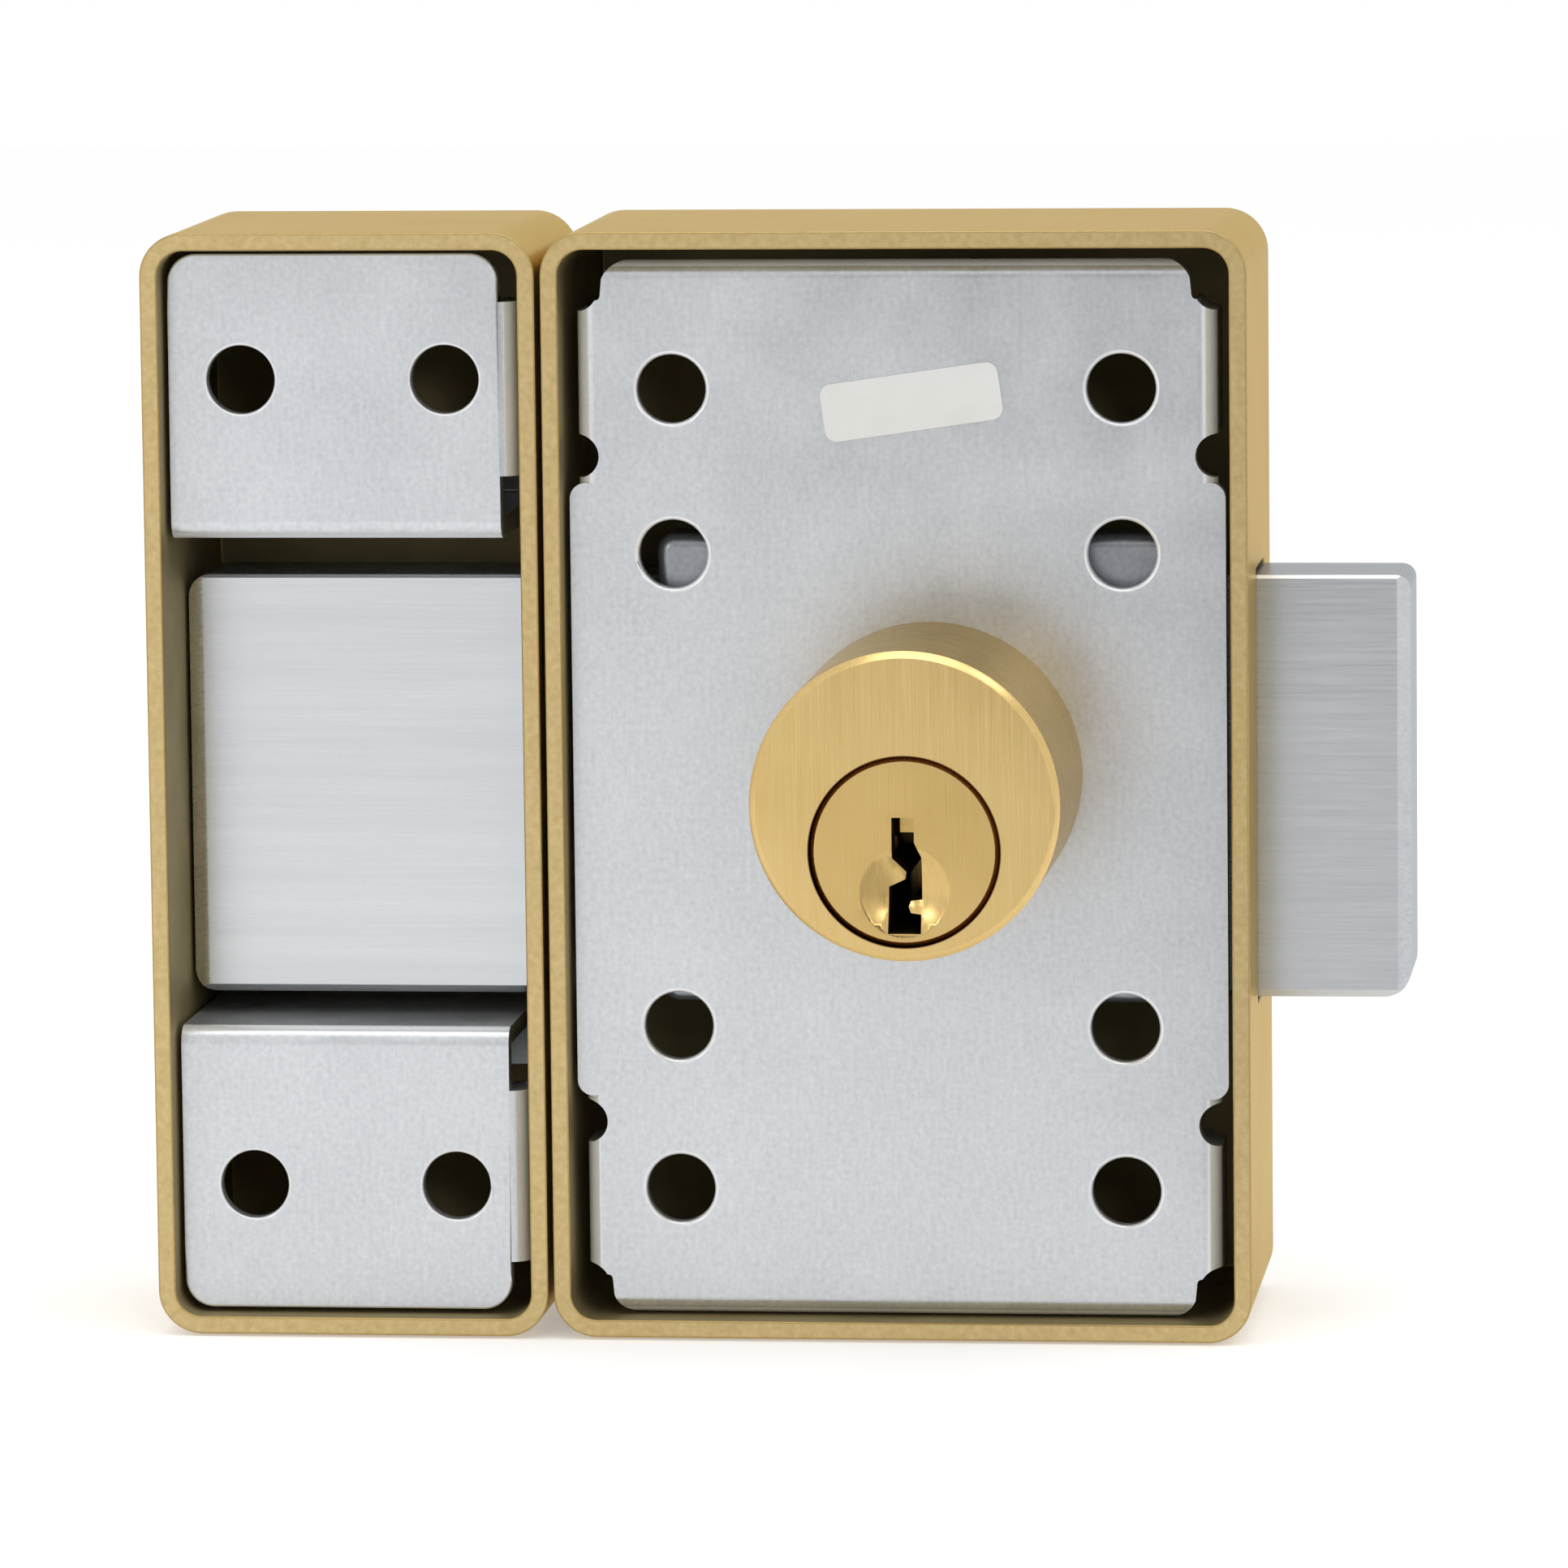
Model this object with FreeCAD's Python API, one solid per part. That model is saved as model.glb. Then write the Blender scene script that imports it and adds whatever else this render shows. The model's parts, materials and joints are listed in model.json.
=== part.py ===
import FreeCAD, Part
import math
import os

os.makedirs("parts", exist_ok=True)
V = FreeCAD.Vector

# Surface-mounted deadbolt with a key cylinder on both sides, and its keeper.
# The origin is the centre of the case's outer screw holes, on the door side of the back plate.
# +Y points from the door into the room, +Z up, +X along the bolt from the keeper to the tail.
# Everything is in millimetres and the bolt is modelled thrown.

# Covers of the case and the keeper
case_width = 53.2
cover_height = 84.2
cover_depth = 27.0
cover_wall = 1.35
cover_corner = 3.3
cover_front_round = 2.2
cover_rise = 0.4
rim_drop = 2.1
keeper_width = 30.1
keeper_gap = 0.4

# Back plate and its holes
plate_thickness = 1.5
plate_side_gap = 0.45
plate_end_gap = 0.55
plate_end_step = 0.6
plate_middle_height = 46.8
end_flange_depth = 6.0
bend_round = 1.4
side_notch_radius = 1.65
side_notch_spacing = 50.8
corner_notch_radius = 1.7
corner_notch_size = 3.0
corner_round = 1.2
screw_hole_radius = 2.6
screw_columns = 34.0
outer_rows = 61.0
inner_rows = 36.0
label_length = 13.6
label_height = 4.4
label_thickness = 0.15
label_x = 1.2
label_top_gap = 10.7
label_tilt = 8.0

# Cylinders: both are the same, one on each side
cylinder_radius = 11.5
cylinder_length = 20.1
cylinder_x = 2.4
cylinder_z = 1.4
cylinder_edge = 0.5
plug_radius = 7.05
plug_drop = 3.35
plug_clearance = 0.05
plug_face_recess = 0.2
plug_edge = 0.35
pin_count = 5
pin_pitch = 3.4
pin_first = 3.6
pin_radius = 1.35
pin_clearance = 0.05
pin_tip_rise = 0.3
pin_tip_step = 0.45
pin_tip_height = 0.9
pin_tip_share = 0.35
driver_length = 3.0
shear_gap = 0.06
chamber_cap = 1.2
spring_radius = 1.25
keyway_depth = 16.6
dimple_radius = 3.4
dimple_depth = 0.7
dimple_drop = 3.0
clip_radius = 7.6
clip_thickness = 0.7
clip_seat_depth = 1.6
clip_groove_radius = 5.6
clip_clearance = 0.12
blade_width = 3.0
blade_thickness = 1.2
blade_clearance = 0.06
blade_depth = 3.0
blade_reach = 14.2
body_screw_radius = 1.5
body_screw_hole_depth = 7.0
body_screw_x = 8.9
body_screw_rise = 2.9
body_screw_lip = 0.35
body_screw_slope = 0.8
body_screw_sunk = 0.05
body_screw_slot_width = 0.7
body_screw_slot_depth = 0.65
thread_clearance = 0.05
hole_clearance = 0.25
ring_nut_height = 3.4
ring_nut_width = 4.2

# Tray between the back plate and the bolt
tray_side_gap = 1.85
tray_height = 35.75
tray_wall = 1.0
tray_depth = 4.1
tray_corner = 1.3
tray_round = 1.0
tray_gap = 0.9
blade_hole_radius = 3.0
body_head_radius = 2.8
body_head_height = 1.8

# Bolt and its drive
bolt_length = 93.7
bolt_height = 32.3
bolt_thickness = 9.5
bolt_near = 7.0
bolt_drop = 0.45
bolt_end_gap = 0.3
bolt_keeper_corner = 1.75
bolt_tail_top_corner = 1.1
bolt_tail_low_corner = 2.2
bolt_low_bevel = 0.6
bolt_edge = 0.25
bolt_keeper_bevel = 1.2
bolt_keeper_bevel_depth = 0.5
bolt_tail_bevel = 1.0
bolt_tail_bevel_depth = 0.6
bolt_slot_clearance = 0.45
bolt_slot_corner = 0.7
bolt_throw = 29.3
pinion_teeth = 12
pinion_width = 5.5
pinion_side_gap = 0.35
pinion_hub_radius = 3.2
pinion_hub_clearance = 0.06
pressure_angle = 20.0
tooth_backlash = 0.12
pocket_web = 3.3
pocket_clearance = 0.8
stop_pin_radius = 1.5
stop_pin_rise = 11.3
stop_pin_grip = 4.0
stop_slot_clearance = 0.15

# Guide behind the bolt
guide_thickness = 2.0
guide_gap = 0.3
guide_half_length = 24.2
guide_inset = 1.5
guide_lip_half = 13.0
guide_lip_setback = 0.4

# Brake spring on the tray
spring_width = 5.0
spring_thickness = 0.4
spring_foot = 4.0
spring_span = 16.0
spring_inset = 4.1
spring_gap = 0.1
rivet_radius = 1.1
rivet_head_radius = 2.0
rivet_head_height = 0.6

# Posts and screws that hold the covers
post_radius = 3.0
post_inset = 9.1
cover_screw_radius = 1.75
cover_screw_grip = 8.0
cover_screw_head_radius = 3.4
cover_screw_head_height = 1.9
head_taper = 0.72
slot_width = 0.9
slot_depth = 0.8

# Keeper channels
channel_thickness = 1.5
channel_bolt_gap = 2.55
channel_side_gap = 0.4
channel_end_gap = 0.35
channel_corner = 2.2
channel_back_flange = 6.3
channel_flange_step = 1.35
channel_flange_depth = 5.0
channel_flange_start = 4.8
channel_flange_length = 13.2
keeper_columns = 15.6
keeper_rows = 61.7

# Places that follow from the sizes above
rim_y = -rim_drop
front_y = rim_y + cover_depth
front_inner_y = front_y - cover_wall
case_left = -case_width / 2
case_right = case_width / 2
keeper_right = case_left - keeper_gap
keeper_left = keeper_right - keeper_width
keeper_x = (keeper_left + keeper_right) / 2
cover_bottom = cover_rise - cover_height / 2
cover_top = cover_rise + cover_height / 2
post_spacing = cover_height - 2 * post_inset
plate_width = case_width - 2 * (cover_wall + plate_side_gap)
plate_end_width = plate_width - 2 * plate_end_step
plate_height = cover_height - 2 * (cover_wall + plate_end_gap)
label_z = plate_height / 2 - label_top_gap
plug_z = cylinder_z - plug_drop
bore_radius = plug_radius + plug_clearance
chamber_radius = pin_radius + pin_clearance
chamber_top = cylinder_radius - chamber_cap
tray_width = 2 * (case_right - cover_wall - tray_side_gap - cylinder_x)
tray_near = plate_thickness + tray_gap
tray_far = tray_near + tray_wall
tray_open = tray_near + tray_depth
bolt_far = bolt_near + bolt_thickness
bolt_left = keeper_left + cover_wall + bolt_end_gap
bolt_right = bolt_left + bolt_length
bolt_low = -bolt_drop - bolt_height / 2
bolt_high = -bolt_drop + bolt_height / 2
guide_near = bolt_far + guide_gap
guide_far = guide_near + guide_thickness
inner_face_y = guide_far + cylinder_length
module = bolt_throw / (math.pi * pinion_teeth)
pitch_radius = module * pinion_teeth / 2
tip_radius = pitch_radius + module
rack_addendum = 0.6 * module
root_clearance = 0.25 * module
blade_reach_radius = math.hypot(blade_width, blade_thickness) / 2
web_slot_half = blade_reach_radius + hole_clearance
pocket_floor = bolt_near + pocket_web
stop_pin_x = -bolt_throw / 2
spring_x = cylinder_x - tray_width / 2 + spring_inset
rivet_x = spring_x + spring_foot / 2
channel_inner = bolt_height / 2 + channel_bolt_gap
keeper_screw_rise = channel_inner + (channel_thickness + channel_back_flange) / 2


def box(x0, x1, y0, y1, z0, z1):
    return Part.makeBox(x1 - x0, y1 - y0, z1 - z0, V(x0, y0, z0))


def rod(x, z, radius, y0, y1):
    return Part.makeCylinder(radius, y1 - y0, V(x, y0, z), V(0, 1, 0))


def edges_along_y(shape):
    return [e for e in shape.Edges if abs(e.tangentAt(e.FirstParameter).y) > 0.999]


def edges_at_y(shape, y):
    return [e for e in shape.Edges if all(abs(v.Y - y) < 1e-6 for v in e.Vertexes)]


def soft_box(x0, x1, y0, y1, z0, z1, corner, closed_round, closed_y):
    """A box with rounded corners whose closed side, at closed_y, has a rounded edge."""
    body = box(x0, x1, y0, y1, z0, z1)
    body = body.makeFillet(corner, edges_along_y(body))
    return body.makeFillet(min(closed_round, 0.95 * corner), edges_at_y(body, closed_y))


def pan(x0, x1, closed_y, open_y, z0, z1, wall, corner, closed_round):
    """A drawn sheet-metal pan, closed at closed_y and open at open_y."""
    inward = wall if closed_y < open_y else -wall
    past = open_y + inward
    outer = soft_box(x0, x1, min(closed_y, open_y), max(closed_y, open_y), z0, z1,
                     corner, closed_round, closed_y)
    floor_y = closed_y + inward
    inner = box(x0 + wall, x1 - wall, min(floor_y, past), max(floor_y, past),
                z0 + wall, z1 - wall)
    inner = inner.makeFillet(max(corner - wall, 0.3), edges_along_y(inner))
    return outer.cut(inner)


def prism_y(points, y0, y1):
    """A straight prism along Y from a list of (x, z) corners."""
    corners = [V(x, y0, z) for x, z in points]
    wire = Part.makePolygon(corners + [corners[0]])
    return Part.Face(wire).extrude(V(0, y1 - y0, 0))


def prism_z(points, z0, z1):
    """A straight prism along Z from a list of (x, y) corners."""
    corners = [V(x, y, z0) for x, y in points]
    wire = Part.makePolygon(corners + [corners[0]])
    return Part.Face(wire).extrude(V(0, 0, z1 - z0))


def bolt_opening(x0, x1):
    """The slot through a cover wall that the bolt slides in."""
    slot = box(x0, x1, bolt_near - bolt_slot_clearance, bolt_far + bolt_slot_clearance,
               bolt_low - bolt_slot_clearance, bolt_high + bolt_slot_clearance)
    along = [e for e in slot.Edges if abs(e.tangentAt(e.FirstParameter).x) > 0.999]
    return slot.makeFillet(bolt_slot_corner, along)


def save(name, shapes):
    """Write one node from one solid or several separate ones."""
    if not isinstance(shapes, (list, tuple)):
        shapes = [shapes]
    shape = shapes[0] if len(shapes) == 1 else Part.makeCompound(list(shapes))
    if len(shape.Solids) == 1:
        shape = shape.Solids[0]
    shape.exportStep("parts/" + name + ".step")
    print(name, len(shape.Solids), round(shape.Volume, 2))


def head_screw(x, z, seat_y, direction, radius, grip, head_radius, head_height):
    """A slotted screw with a tapered head; direction is +1 when the shank runs along +Y."""
    top_y = seat_y - direction * head_height
    head = Part.makeCone(head_radius, head_taper * head_radius, head_height,
                         V(x, seat_y, z), V(0, -direction, 0))
    shank = Part.makeCylinder(radius, grip, V(x, seat_y, z), V(0, direction, 0))
    low, high = sorted((top_y - direction, top_y + direction * slot_depth))
    slot = box(x - head_radius, x + head_radius, low, high, z - slot_width / 2, z + slot_width / 2)
    return head.fuse(shank).removeSplitter().cut(slot)


# Case cover: a drawn hood, open towards the door, with a bolt slot in each side wall
def case_cover():
    cover = pan(case_left, case_right, front_y, rim_y, cover_bottom, cover_top,
                cover_wall, cover_corner, cover_front_round)
    cover = cover.cut(bolt_opening(case_left - 1, case_left + cover_wall + 1))
    cover = cover.cut(bolt_opening(case_right - cover_wall - 1, case_right + 1))
    cover = cover.cut(rod(cylinder_x, cylinder_z, cylinder_radius + hole_clearance,
                          front_inner_y - 1, front_y + 1))
    for side in (-1, 1):
        cover = cover.cut(rod(0, side * post_spacing / 2, cover_screw_radius + hole_clearance,
                              front_inner_y - 1, front_y + 1))
    return cover


# Back plate: flat middle, narrower ends with side flanges bent away from the door
def end_corner(sx, sz, x, z, high):
    """What is cut from one corner of the plate; the corner that stays is rounded."""
    x0, x1 = sorted((sx * x, sx * (x + 2 * corner_notch_size)))
    z0, z1 = sorted((sz * z, sz * (high + 1)))
    cut = box(x0, x1, -1, plate_thickness + 1, z0, z1)
    x0, x1 = sorted((sx * x, sx * (x - corner_round)))
    z0, z1 = sorted((sz * (high - corner_round), sz * (high + 1)))
    keep = rod(sx * (x - corner_round), sz * (high - corner_round), corner_round, -2,
               plate_thickness + 2)
    return cut.fuse(box(x0, x1, -1, plate_thickness + 1, z0, z1).cut(keep))


def back_plate():
    half = plate_height / 2
    end_half = plate_end_width / 2
    plate = box(-plate_width / 2, plate_width / 2, 0, plate_thickness,
                -plate_middle_height / 2, plate_middle_height / 2)
    plate = plate.makeFillet(corner_round, edges_along_y(plate))
    corner_x = end_half - corner_notch_size
    corner_z = half - corner_notch_size
    plate = plate.fuse(box(-end_half, end_half, 0, plate_thickness, -half, half))
    notch_z = side_notch_spacing / 2
    flange_low = notch_z + side_notch_radius * 0.7
    flange_high = corner_z
    for sx in (-1, 1):
        for sz in (-1, 1):
            x0, x1 = sorted((sx * end_half, sx * (end_half - plate_thickness)))
            z0, z1 = sorted((sz * flange_low, sz * flange_high))
            plate = plate.fuse(box(x0, x1, 0, end_flange_depth, z0, z1))
    plate = plate.removeSplitter()
    outer = [e for e in plate.Edges
             if all(abs(v.Y) < 1e-6 and abs(abs(v.X) - end_half) < 1e-6 for v in e.Vertexes)]
    plate = plate.makeFillet(bend_round, outer)
    for sx in (-1, 1):
        for sz in (-1, 1):
            plate = plate.cut(end_corner(sx, sz, corner_x, corner_z, half))
            plate = plate.cut(rod(sx * end_half, sz * notch_z, side_notch_radius,
                                  -1, end_flange_depth + 1))
            plate = plate.cut(rod(sx * end_half, sz * (corner_z + corner_notch_radius / 2),
                                  corner_notch_radius, -1, end_flange_depth + 1))
            for rows in (outer_rows, inner_rows):
                plate = plate.cut(rod(sx * screw_columns / 2, sz * rows / 2, screw_hole_radius,
                                      -1, plate_thickness + 1))
        plate = plate.cut(rod(cylinder_x + sx * body_screw_x, cylinder_z + body_screw_rise,
                              body_screw_radius + hole_clearance, -1, plate_thickness + 1))
    return plate.cut(rod(cylinder_x, plug_z, blade_hole_radius, -1, plate_thickness + 1))


# Label: a thin bare patch, stuck on a little askew
def plate_label():
    label = box(-label_length / 2, label_length / 2, -label_thickness, 0,
                -label_height / 2, label_height / 2)
    label = label.makeFillet(0.9, edges_along_y(label))
    label.rotate(V(0, 0, 0), V(0, -1, 0), label_tilt)
    label.translate(V(label_x, 0, label_z))
    return label


# Tray: a shallow pressing behind the plate that carries the outer cylinder's screws and the brake
def mechanism_tray():
    tray = pan(cylinder_x - tray_width / 2, cylinder_x + tray_width / 2, tray_near, tray_open,
               cylinder_z - tray_height / 2, cylinder_z + tray_height / 2,
               tray_wall, tray_corner, tray_round)
    tray = tray.cut(rod(cylinder_x, plug_z, blade_hole_radius, tray_near - 1, tray_far + 1))
    for sx in (-1, 1):
        tray = tray.cut(rod(cylinder_x + sx * body_screw_x, cylinder_z + body_screw_rise,
                            body_screw_radius + hole_clearance, tray_near - 1, tray_far + 1))
    return tray.cut(rod(rivet_x, stop_pin_rise, rivet_radius, tray_near - 1, tray_far + 1))


def tray_spacers():
    spacers = []
    for sx in (-1, 1):
        x = cylinder_x + sx * body_screw_x
        z = cylinder_z + body_screw_rise
        washer = rod(x, z, body_head_radius, plate_thickness, tray_near)
        bore = rod(x, z, body_screw_radius + hole_clearance, plate_thickness - 1, tray_near + 1)
        spacers.append(washer.cut(bore))
    return spacers


# One key cylinder, drawn with its face at y = 0 and its rear at y = cylinder_length.
# The plug's axis lies plug_drop below the body's axis, and the pins stand above the plug.
def pin_places():
    return [pin_first + i * pin_pitch for i in range(pin_count)]


def eight_sides(y, radius, z):
    """Outline of a pin or of its chamber, which are sealed in and so need no more sides."""
    turns = [2 * math.pi * (i + 0.5) / 8 for i in range(8)]
    corners = [V(radius * math.cos(a), y + radius * math.sin(a), z) for a in turns]
    return Part.makePolygon(corners + [corners[0]])


def upright(y, radius, z0, z1):
    return Part.Face(eight_sides(y, radius, z0)).extrude(V(0, 0, z1 - z0))


def cylinder_body():
    body = rod(0, 0, cylinder_radius, 0, cylinder_length)
    body = body.makeChamfer(cylinder_edge, edges_at_y(body, 0))
    body = body.cut(rod(0, -plug_drop, bore_radius, -1, cylinder_length + 1))
    body = body.cut(rod(0, -plug_drop, clip_radius + clip_clearance,
                        cylinder_length - clip_seat_depth, cylinder_length + 1))
    for y in pin_places():
        body = body.cut(upright(y, chamber_radius, 0, chamber_top))
    for sx in (-1, 1):
        body = body.cut(rod(sx * body_screw_x, body_screw_rise, body_screw_radius + thread_clearance,
                            cylinder_length - body_screw_hole_depth, cylinder_length + 1))
    return body


def keyway_outline():
    """Corners of the keyway, as seen from the face, about the plug's axis."""
    return [(-0.94, 2.54), (0.72, 2.54), (0.72, 0.7), (1.24, -0.45), (1.24, -3.6), (0.4, -3.7),
            (0.23, -4.15), (0.4, -4.6), (1.17, -4.7), (1.17, -6.1), (-1.27, -6.1),
            (-1.2, -2.65), (0.0, -2.1), (0.08, -1.55), (-0.94, -0.5)]


def plug():
    rear = cylinder_length - 0.1
    body = rod(0, -plug_drop, plug_radius, plug_face_recess, rear)
    body = body.makeChamfer(plug_edge, edges_at_y(body, plug_face_recess))
    keyway = [(x, z - plug_drop) for x, z in keyway_outline()]
    body = body.cut(prism_y(keyway, -1, keyway_depth))
    ball_radius = (dimple_radius ** 2 + dimple_depth ** 2) / (2 * dimple_depth)
    ball_y = plug_face_recess + dimple_depth - ball_radius
    body = body.cut(Part.makeSphere(ball_radius, V(0, ball_y, -plug_drop - dimple_drop)))
    for y in pin_places():
        body = body.cut(upright(y, chamber_radius, -plug_drop - 0.5, cylinder_radius))
    groove_y = cylinder_length - clip_seat_depth + clip_clearance / 2
    groove = rod(0, -plug_drop, plug_radius + 1, groove_y, groove_y + clip_thickness + clip_clearance)
    groove = groove.cut(rod(0, -plug_drop, clip_groove_radius, groove_y - clip_thickness,
                            groove_y + 3 * clip_thickness))
    body = body.cut(groove)
    return body.cut(blade_box(blade_clearance, rear - blade_depth - blade_clearance, rear + 1))


def blade_box(clearance, y0, y1):
    """The tailpiece's section, or the slot for it, standing on the plug's axis."""
    half_w = blade_width / 2 + clearance
    half_t = blade_thickness / 2 + clearance
    return box(-half_w, half_w, y0, y1, -plug_drop - half_t, -plug_drop + half_t)


def key_pins():
    """Pins cut to five lengths, their tops at the shear line as with the right key in."""
    pins = []
    top = -plug_drop + math.sqrt((plug_radius - shear_gap / 2) ** 2 - pin_radius ** 2)
    for i, y in enumerate(pin_places()):
        tip = -plug_drop + pin_tip_rise + pin_tip_step * ((i * 3) % pin_count)
        shoulder = tip + pin_tip_height
        tapered = Part.makeLoft([eight_sides(y, pin_radius * pin_tip_share, tip),
                                 eight_sides(y, pin_radius, shoulder)], True, True)
        pins.append(tapered.fuse(upright(y, pin_radius, shoulder, top)).removeSplitter())
    return pins


def driver_pins():
    low = -plug_drop + plug_radius + shear_gap
    return [upright(y, pin_radius, low, low + driver_length) for y in pin_places()]


def pin_springs():
    """Springs pressed solid between the driver pins and the chambers' ends, as plain bars."""
    low = -plug_drop + plug_radius + shear_gap + driver_length
    return [upright(y, spring_radius, low, chamber_top) for y in pin_places()]


def plug_clip():
    y0 = cylinder_length - clip_seat_depth + clip_clearance
    ring = rod(0, -plug_drop, clip_radius, y0, y0 + clip_thickness)
    ring = ring.cut(rod(0, -plug_drop, clip_groove_radius + 0.05, y0 - 1, y0 + clip_thickness + 1))
    mouth = box(-2.2, 2.2, y0 - 1, y0 + clip_thickness + 1, -plug_drop, -plug_drop + clip_radius + 1)
    return ring.cut(mouth)


def place(shapes, inner):
    """Move pieces of the cylinder to the door side, or turned about Z to the room side."""
    placed = []
    for shape in shapes if isinstance(shapes, list) else [shapes]:
        copy = shape.copy()
        if inner:
            copy.rotate(V(0, 0, 0), V(0, 0, 1), 180)
            copy.translate(V(cylinder_x, inner_face_y, cylinder_z))
        else:
            copy.translate(V(cylinder_x, -cylinder_length, cylinder_z))
        placed.append(copy)
    return placed


def outer_cylinder_screws():
    return [head_screw(cylinder_x + sx * body_screw_x, cylinder_z + body_screw_rise, tray_far, -1,
                      body_screw_radius, tray_far + body_screw_hole_depth - 1,
                      body_head_radius, body_head_height) for sx in (-1, 1)]


def countersunk(x, z, clearance):
    head_height = guide_thickness - body_screw_lip
    head = Part.makeCone(body_screw_radius + head_height * body_screw_slope + clearance,
                         body_screw_radius + clearance, head_height,
                         V(x, guide_near + body_screw_sunk - clearance, z), V(0, 1, 0))
    shank = rod(x, z, body_screw_radius + clearance, guide_near + 4 * body_screw_sunk,
                guide_far + body_screw_hole_depth - 1)
    return head.fuse(shank).removeSplitter()


def inner_cylinder_screws():
    screws = []
    for sx in (-1, 1):
        x = cylinder_x + sx * body_screw_x
        z = cylinder_z + body_screw_rise
        screw = countersunk(x, z, 0)
        half_slot = body_screw_slot_width / 2
        slot = box(x - guide_thickness * 2, x + guide_thickness * 2, guide_near - 1,
                   guide_near + body_screw_slot_depth, z - half_slot, z + half_slot)
        screws.append(screw.cut(slot))
    return screws


def inner_ring_nut():
    """A tapered brass ring that clamps the room-side cylinder to the cover's front."""
    radius = cylinder_radius + thread_clearance
    ring = Part.makeCone(cylinder_radius + ring_nut_width, cylinder_radius + ring_nut_width * 0.55,
                         ring_nut_height, V(cylinder_x, front_y, cylinder_z), V(0, 1, 0))
    ring = ring.cut(rod(cylinder_x, cylinder_z, radius, front_y - 1, front_y + ring_nut_height + 1))
    return ring


# Guide: a channel behind the bolt, with lips above and below it and end legs to the cover's front
def bolt_guide():
    low = bolt_low - guide_gap
    high = bolt_high + guide_gap
    half = guide_half_length
    lip_y = bolt_near + guide_lip_setback
    lip = guide_lip_half
    guide = box(-half, half, guide_near, guide_far, low + guide_inset, high - guide_inset)
    guide = guide.fuse(box(-lip, lip, guide_near, guide_far,
                           low - guide_thickness, high + guide_thickness))
    guide = guide.fuse(box(-lip, lip, lip_y, guide_far, high, high + guide_thickness))
    guide = guide.fuse(box(-lip, lip, lip_y, guide_far, low - guide_thickness, low))
    for sx in (-1, 1):
        x0, x1 = sorted((sx * half, sx * (half - guide_thickness)))
        guide = guide.fuse(box(x0, x1, guide_far - 0.1, front_inner_y,
                               low + guide_inset, high - guide_inset))
    guide = guide.removeSplitter()
    bends = [e for e in guide.Edges
             if all(abs(v.Y - guide_far) < 1e-6 for v in e.Vertexes) and len(e.Vertexes) == 2
             and all(abs(v.Z - (high + guide_thickness)) < 1e-6
                     or abs(v.Z - (low - guide_thickness)) < 1e-6 for v in e.Vertexes)
             and e.Length > lip]
    guide = guide.makeFillet(bend_round, bends)
    guide = guide.cut(rod(cylinder_x, plug_z, pinion_hub_radius + pinion_hub_clearance,
                          guide_near - 1, guide_far + 1))
    reach = stop_pin_radius + stop_slot_clearance
    slot = box(stop_pin_x, stop_pin_x + bolt_throw, guide_near - 1, guide_far + 1,
               stop_pin_rise - reach, stop_pin_rise + reach)
    for x in (stop_pin_x, stop_pin_x + bolt_throw):
        slot = slot.fuse(rod(x, stop_pin_rise, reach, guide_near - 1, guide_far + 1))
    guide = guide.cut(slot)
    for sx in (-1, 1):
        guide = guide.cut(countersunk(cylinder_x + sx * body_screw_x,
                                      cylinder_z + body_screw_rise, thread_clearance))
    return guide


# Pinion: involute teeth that mesh with the rack cut inside the bolt
def involute_angle(radius, base):
    ratio = math.sqrt(max((radius / base) ** 2 - 1, 0))
    return ratio - math.atan(ratio)


def drive_pinion():
    base = pitch_radius * math.cos(math.radians(pressure_angle))
    root = pitch_radius - rack_addendum - root_clearance
    half_pitch_angle = math.pi / (2 * pinion_teeth) - tooth_backlash / (2 * pitch_radius)
    at_pitch = involute_angle(pitch_radius, base)
    start = max(base, root + 0.05)

    def point(radius, angle):
        return V(radius * math.cos(angle), 0, radius * math.sin(angle))

    def half_angle(radius):
        return half_pitch_angle + at_pitch - involute_angle(radius, base)

    edges = []
    middle = (start + tip_radius) / 2
    for i in range(pinion_teeth):
        centre = -math.pi / 2 + 2 * math.pi * i / pinion_teeth
        following = centre + 2 * math.pi / pinion_teeth
        rise = [point(root, centre - half_angle(start)), point(start, centre - half_angle(start)),
                point(middle, centre - half_angle(middle)),
                point(tip_radius, centre - half_angle(tip_radius))]
        fall = [point(tip_radius, centre + half_angle(tip_radius)),
                point(middle, centre + half_angle(middle)),
                point(start, centre + half_angle(start)), point(root, centre + half_angle(start))]
        edges.append(Part.makeLine(rise[0], rise[1]))
        edges.append(Part.Arc(rise[1], rise[2], rise[3]).toShape())
        edges.append(Part.Arc(rise[3], point(tip_radius, centre), fall[0]).toShape())
        edges.append(Part.Arc(fall[0], fall[1], fall[2]).toShape())
        edges.append(Part.makeLine(fall[2], fall[3]))
        gap_middle = point(root, (centre + following) / 2)
        edges.append(Part.Arc(fall[3], gap_middle,
                              point(root, following - half_angle(start))).toShape())
    wire = Part.Wire(Part.__sortEdges__(edges))
    near = pocket_floor + pinion_side_gap
    gear = Part.Face(wire).extrude(V(0, pinion_width, 0))
    gear.translate(V(0, near, 0))
    hub = rod(0, 0, pinion_hub_radius, near + pinion_width - 0.5, guide_far - 0.2)
    gear = gear.fuse(hub).removeSplitter()
    half_w = blade_width / 2 + blade_clearance
    half_t = blade_thickness / 2 + blade_clearance
    gear = gear.cut(box(-half_w, half_w, near - 1, guide_far, -half_t, half_t))
    gear.translate(V(cylinder_x, 0, plug_z))
    return gear


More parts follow.
